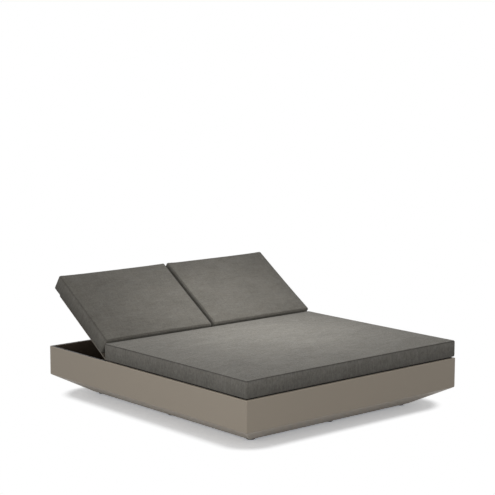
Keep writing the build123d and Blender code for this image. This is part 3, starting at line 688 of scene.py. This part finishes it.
def makeZip(name, settled, normals, ring, half, toFrame):
    # Runs along the rear of one ring of a pad
    rearStart = half[1] * padLook["rearShare"]
    sideEnd = half[0] * zipLook["reach"]
    rear = [i for i in ring if settled[i][1] > rearStart and abs(settled[i][0]) < sideEnd]
    rear.sort(key=lambda i: settled[i][0])
    path = settled[rear]
    out = normals[rear]
    tape = zipTape(name + "ZipTape", path, out, toFrame, zipCloth)
    values = {"Pitch": zipLook["toothPitch"], "Length": zipLook["toothLength"],
              "Radius": zipLook["toothRadius"], "Thread": zipNylon}
    line = [toFrame @ Vector(p) for p in path + out * zipLook["tapeRise"]]
    coil = grown(name + "ZipCoil", line, threadRow, values, zipNylon, closed=False)
    body, tab = zipLook["sliderSize"], zipLook["tabSize"]
    end = path[0] + out[0] * (zipLook["tapeRise"] + body[1] / 2)
    hang = end + np.array([0, body[1] / 2, -tab[2] / 2])
    slider = boxMesh(name + "ZipSlider", [(end, body), (hang, tab)], toFrame, zipMetal)
    return [tape, coil, slider]


def makePad(name, size, seed, look, covers, toFrame):
    # A finished pad: swollen block with sunken seams, a stitch row and a zip, all in the frame
    half = [s / 2 for s in size]
    points, quads, bands, rings, seamLevel = padMesh(size, look)
    points = crowned(points, half, look)
    seams = [rings[seamLevel], rings[0]]
    settled = limited(points, swollen(name, points, quads, seams, seed), half)
    normals = meshNormals(settled, quads)
    sunk = settled.copy()
    for level, depth in ((seamLevel, "seamDepth"), (seamLevel - 1, "besideDepth"),
                         (seamLevel + 1, "besideDepth"), (0, "seamDepth")):
        sunk[rings[level]] -= normals[rings[level]] * padLook[depth]
    # Painted shade in the seams: strength by level around the top seam, full on the bottom seam
    seam = np.zeros(len(points))
    for away, mark in padLook["seamShadeByLevel"].items():
        seam[rings[seamLevel + away]] = mark
    seam[rings[0]] = 1.0
    height = (points[:, 2] + half[2]) / size[2]
    piece = newPiece(name, [toFrame @ Vector(p) for p in sunk], [], quads, covers)
    piece.data.polygons.foreach_set("use_smooth", [True] * len(quads))
    piece.data.polygons.foreach_set("material_index", [int(band) for band in bands])
    for key, values in (("seam", seam), ("height", height)):
        piece.data.attributes.new(key, "FLOAT", "POINT").data.foreach_set("value", values)
    finer = piece.modifiers.new("finer", "SUBSURF")
    finer.levels = finer.render_levels = 1
    arc = padLook["arcAngles"]
    row = rings[seamLevel - arc.index(padLook["seamAngle"]) + arc.index(padLook["stitchAngle"])]
    path = settled[row] + normals[row] * (padLook["stitchRadius"] * padLook["stitchLiftShare"])
    values = {"Pitch": padLook["stitchPitch"], "Length": padLook["stitchLength"],
              "Radius": padLook["stitchRadius"], "Thread": thread}
    stitches = grown(name + "Stitches", [toFrame @ Vector(p) for p in path], threadRow, values, thread)
    bandStart = padLook["roundSteps"]
    zipRing = rings[bandStart + round((seamLevel - bandStart) * zipLook["heightShare"])]
    return piece, [stitches] + makeZip(name, settled, normals, zipRing, half, toFrame)


threadRow = rowOfThreads()

lying = (0, 0, 0)
raised = (-backPlace("left")[0], 0, 0)
# Each pad's band cloth is a copy of its top cloth with painted shade
seatTop = clothMaterial("seatClothTop", "seat", lying)
seatBand = clothMaterial("seatClothBand", "seat", lying, band=True)
backTop = clothMaterial("backClothTop", "back", raised)
backBand = clothMaterial("backClothBand", "back", raised, band=True)
thread = mouldedMaterial("sewingThread", (96, 93, 87), 0.7, grainScale=2500.0, grain=0.0001)
zipCloth = mouldedMaterial("zipTape", (84, 81, 76), 0.9, grainScale=900.0)
zipNylon = mouldedMaterial("zipCoil", (60, 58, 55), 0.4, grainScale=1500.0, grain=0.0001)
zipMetal = coatedMetal("zipSlider", (70, 69, 66), 0.35)
print("cloth materials made")

seatLook = {
    "seed": 11,
    "crownRoom": 0.002,
    "sideRoom": 0.003,
    "rearRoom": 0.001,
    "rearTuck": 0.006,
    "crown": 0.004,
    "draw": 0.003,
    "cell": 0.0185,
    "corner": 0.008,
    "topTuck": 0.004,
    "topRound": 0.012,
    "bottomTuck": 0.004,
    "bottomRound": 0.014,
}


def makeSeat():
    low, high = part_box("seat_mattress")
    high.y -= seatLook["rearRoom"]
    size = (high.x - low.x + 2 * seatLook["sideRoom"], high.y - low.y,
            high.z - low.z - seatLook["crownRoom"])
    toFrame = Matrix.Translation(((low.x + high.x) / 2, (low.y + high.y) / 2, low.z + size[2] / 2))
    piece, extras = makePad("seatMattress", size, seatLook["seed"], seatLook, (seatTop, seatBand), toFrame)
    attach(piece, "base")
    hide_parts("seat_mattress")
    for extra in extras:
        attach(extra, "base")
    print("seat mattress made")


backLook = {
    "seeds": {"left": 23, "right": 37},
    "crownRoom": 0.001,
    "sideRoom": 0.0015,
    "headRoom": 0.023,
    "rearTuck": 0,
    "crown": 0.003,
    "draw": 0.001,
    "cell": 0.0155,
    "corner": 0.015,
    "topTuck": 0.009,
    "topRound": 0.016,
    "bottomTuck": 0.0015,
    "bottomRound": 0.008,
}


def makeBack(side, seed):
    node = side + "_back_cushion"
    toBack = backPlace(side)[1]
    local = np.array([toBack.inverted() @ Vector(p) for p in meshPoints(nodes[node].data)])
    low, high = local.min(0), local.max(0)
    high[1] += backLook["headRoom"]
    size = (high[0] - low[0] + 2 * backLook["sideRoom"], high[1] - low[1],
            high[2] - low[2] - backLook["crownRoom"])
    centre = ((low[0] + high[0]) / 2, (low[1] + high[1]) / 2, low[2] + size[2] / 2)
    piece, extras = makePad(side + "BackCushion", size, seed, backLook, (backTop, backBand),
                            toBack @ Matrix.Translation(centre))
    body = side + "_cushion"
    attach(piece, body)
    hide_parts(node)
    for extra in extras:
        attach(extra, body)
    print(side, "back cushion made")


makeSeat()
for side, seed in backLook["seeds"].items():
    makeBack(side, seed)


# Finishes of the frame's own pieces

def dressFrame():
    finishes = {
        "taupe_shell": shellMaterial(),
        "black_liner": mouldedMaterial("blackLiner", (96, 84, 72), 0.75, grainScale=120.0, grain=0.0004,
                                       spread=0.3),
        "deck_panel": panelMaterial("deckPanel", (26, 25, 24), 0.7),
        "back_panel": panelMaterial("backPanel", (112, 105, 95), 0.5),
        "black_aluminium": coatedMetal("blackAluminium", (30, 29, 28), 0.45),
        "stainless": brushedSteel("stainless", (1, 1, 0.05)),
        "black_steel": coatedMetal("blackSteel", (26, 26, 26), 0.4),
        "black_nylon": mouldedMaterial("blackNylon", (24, 24, 24), 0.5),
        "foot_rubber": mouldedMaterial("footRubber", (26, 25, 24), 0.8, grainScale=200.0),
    }
    slots = {part["node"]: part["material_slot"] for part in frame["record"]["subparts"]}
    for name, body in nodes.items():
        if slots[name] not in finishes:
            continue
        body.data.materials.clear()
        body.data.materials.append(finishes[slots[name]])
    print("frame dressed")


dressFrame()


# Studio

studio = {
    "camera": (-6.2754, -7.2192, 2.3522),
    "azimuth": -40.932,
    "elevation": 7.944,
    "roll": 0.125,
    "focalPixels": 1471.14,
    "framePixels": 495,
    "sensor": 36.0,
    "clipEnd": 200,
    "world": 0.41,
    "lamps": {
        "top": {"power": 6.0, "place": (0.16, -0.01, 1.15), "target": (0.16, -0.01, 0), "size": 1.08},
        "left": {"power": 31.0, "place": (-5.0, -1.5, 1.0), "target": (0, 0, 0.3), "size": 2.0},
        "front": {"power": 8.1, "place": (-2.4, -3.6, 1.4), "target": (-0.3, -0.6, 0.3), "size": 1.5},
    },
    "floorReach": 60,
    "floorColour": 1.33,
    "floorBounce": 0.72,
    "floorGlow": (0.255, 0.265, 0.28),
    "sideFade": 0.9,
    "fadeStart": 0.15,
    "fadeEnd": 0.235,
}


def makeCamera():
    # Placed by its measured angles: azimuth and elevation of its view, then a small roll
    azimuth, elevation = math.radians(studio["azimuth"]), math.radians(studio["elevation"])
    back = Vector((math.sin(azimuth) * math.cos(elevation), -math.cos(azimuth) * math.cos(elevation),
                   math.sin(elevation)))
    right = Vector((math.cos(azimuth), math.sin(azimuth), 0))
    up = back.cross(right)
    roll = math.radians(studio["roll"])
    turnedRight = right * math.cos(roll) + up * math.sin(roll)
    turnedUp = up * math.cos(roll) - right * math.sin(roll)
    data = bpy.data.cameras.new("camera")
    data.sensor_width = studio["sensor"]
    data.lens = studio["focalPixels"] / studio["framePixels"] * studio["sensor"]
    data.clip_end = studio["clipEnd"]
    camera = bpy.data.objects.new("camera", data)
    columns = Matrix((turnedRight, turnedUp, back)).transposed().to_4x4()
    camera.matrix_world = Matrix.Translation(studio["camera"]) @ columns
    scene.collection.objects.link(camera)
    scene.camera = camera


def softLight(name, power, place, target, size):
    data = bpy.data.lights.new(name, "AREA")
    data.energy = power
    data.size = size
    light = bpy.data.objects.new(name, data)
    light.location = place
    light.visible_camera = False
    light.rotation_mode = "QUATERNION"
    light.rotation_quaternion = (Vector(target) - Vector(place)).to_track_quat("-Z", "Y")
    scene.collection.objects.link(light)


def backdropRays(tree):
    # One for camera, glossy and transmission rays, which see the white surroundings
    seen = addNode(tree, "ShaderNodeLightPath")
    mask = seen["Is Camera Ray"]
    for name in ("Is Glossy Ray", "Is Transmission Ray"):
        mask = addNode(tree, "ShaderNodeMath", {0: mask, 1: seen[name]}, operation="MAXIMUM")[0]
    return mask


def makeWorld():
    # Soft light on the object, pure white for the rays that see the backdrop
    world = bpy.data.worlds.new("studioAir")
    world.use_nodes = True
    tree = world.node_tree
    tree.nodes.clear()
    white = (1, 1, 1, 1)
    soft = addNode(tree, "ShaderNodeBackground", {"Color": white, "Strength": studio["world"]})
    clear = addNode(tree, "ShaderNodeBackground", {"Color": white, "Strength": 1.0})
    both = addNode(tree, "ShaderNodeMixShader", {0: backdropRays(tree), 1: soft[0], 2: clear[0]})
    addNode(tree, "ShaderNodeOutputWorld", {"Surface": both[0]})
    scene.world = world


def makeFloor():
    # Pale floor that keeps the shadow under the base and turns pure white around it, for the rays
    # that see the backdrop; other rays bounce off a plain grey
    shader = Shader("studioFloor")
    place = shader.place()
    x, y, z = shader.split(place)
    low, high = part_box("feet")
    outX = (x.size() - high.x).most(0)
    outY = (y.size() - high.y).most(0)
    away = ((outX * studio["sideFade"]) ** 2 + outY ** 2) ** 0.5
    fade = shader.add("ShaderNodeMapRange", {"interpolation_type": "SMOOTHSTEP"},
                      {0: away, 1: studio["fadeStart"], 2: studio["fadeEnd"], 3: 0.0, 4: 1.0})
    grain = shader.noise(place, scale=0.5, detail=2, roughness=0.5)
    colour = shader.shade((studio["floorColour"],) * 3, 0.99 + grain * 0.02)
    bounce = shader.add("ShaderNodeBsdfDiffuse", {}, {"Color": (studio["floorBounce"],) * 3})
    paint = shader.add("ShaderNodeBsdfDiffuse", {}, {"Color": colour})
    glow = shader.add("ShaderNodeEmission", {}, {"Color": studio["floorGlow"]})
    lit = shader.add("ShaderNodeAddShader", {}, {0: paint, 1: glow})
    white = shader.add("ShaderNodeEmission", {}, {"Strength": 1.0})
    shown = shader.add("ShaderNodeMixShader", {}, {0: fade, 1: lit, 2: white})
    rays = Wire(shader, backdropRays(shader.tree))
    both = shader.add("ShaderNodeMixShader", {}, {0: rays, 1: bounce, 2: shown})
    shader.tree.links.new(both.socket, shader.exit.inputs["Surface"])
    reach = studio["floorReach"]
    corners = [(-reach, -reach, 0), (reach, -reach, 0), (reach, reach, 0), (-reach, reach, 0)]
    floor = newPiece("studioFloor", corners, [], [(0, 1, 2, 3)], [shader.material])


makeCamera()
for name, lamp in studio["lamps"].items():
    softLight(name, **lamp)
makeWorld()
makeFloor()
scene.view_settings.view_transform = "Standard"
print("studio made")
